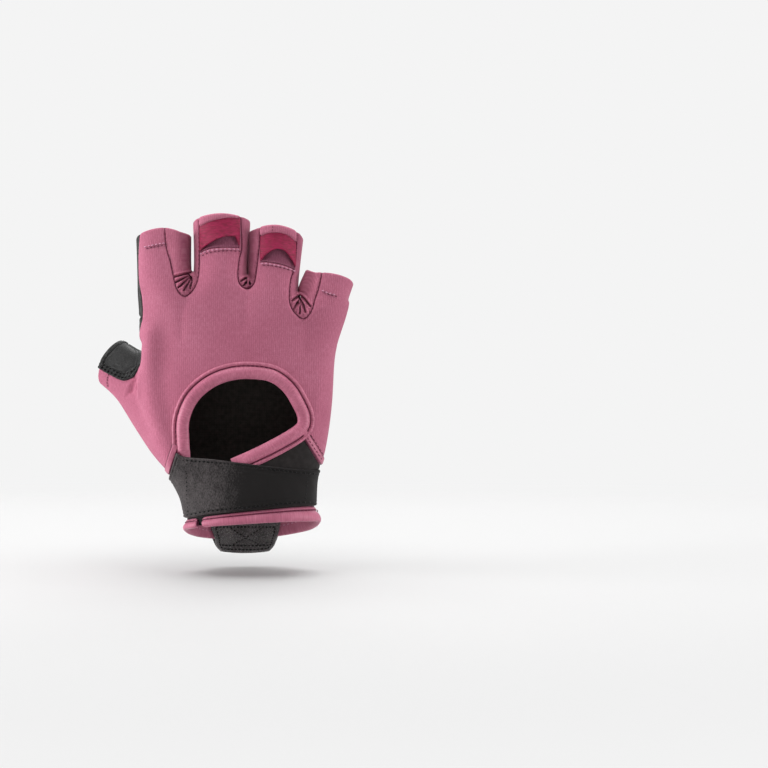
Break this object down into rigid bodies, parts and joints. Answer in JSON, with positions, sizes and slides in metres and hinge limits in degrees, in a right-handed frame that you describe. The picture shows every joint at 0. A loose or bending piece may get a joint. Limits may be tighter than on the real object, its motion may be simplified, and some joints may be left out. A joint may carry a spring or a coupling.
{
  "type": "weightlifting glove",
  "caption": "Fingerless right-hand lifting glove: knit back with a bound opening, leather palm with a ribbed grip, wrist strap and pull tab",
  "frame": {"origin": "middle of the wrist opening, where the hand goes in", "axes": "+Z towards the fingers, -Y out of the back of the hand, +Y out of the palm, -X towards the thumb"},
  "size_m": [0.1191, 0.0528, 0.1566],
  "materials": {
    "knit": "ribbed knit",
    "gusset_knit": "smooth knit",
    "binding": "rolled satin-like knit tape",
    "leather": "fine-grained",
    "grip_leather": "ribbed",
    "wrist_fabric": "smooth",
    "strap_fabric": "brushed loop",
    "ribbon": "fine woven"
  },
  "bodies": {
    "root": {"back_panel": "knit", "palm_panel": "leather", "grip_panel": "grip_leather", "gusset_index_middle": "gusset_knit", "gusset_middle_ring": "gusset_knit", "gusset_ring_little": "gusset_knit", "wrist_panel": "wrist_fabric", "wrist_hem_radial": "binding", "wrist_hem_ulnar": "binding", "opening_binding": "binding", "wrist_strap": "strap_fabric", "cuff_binding": "binding", "pull_tab": "wrist_fabric", "thumb_patch": "leather", "loop_ribbon_middle": "ribbon", "loop_band_middle": "gusset_knit", "loop_ribbon_ring": "ribbon", "loop_band_ring": "gusset_knit"}
  },
  "joints": []
}
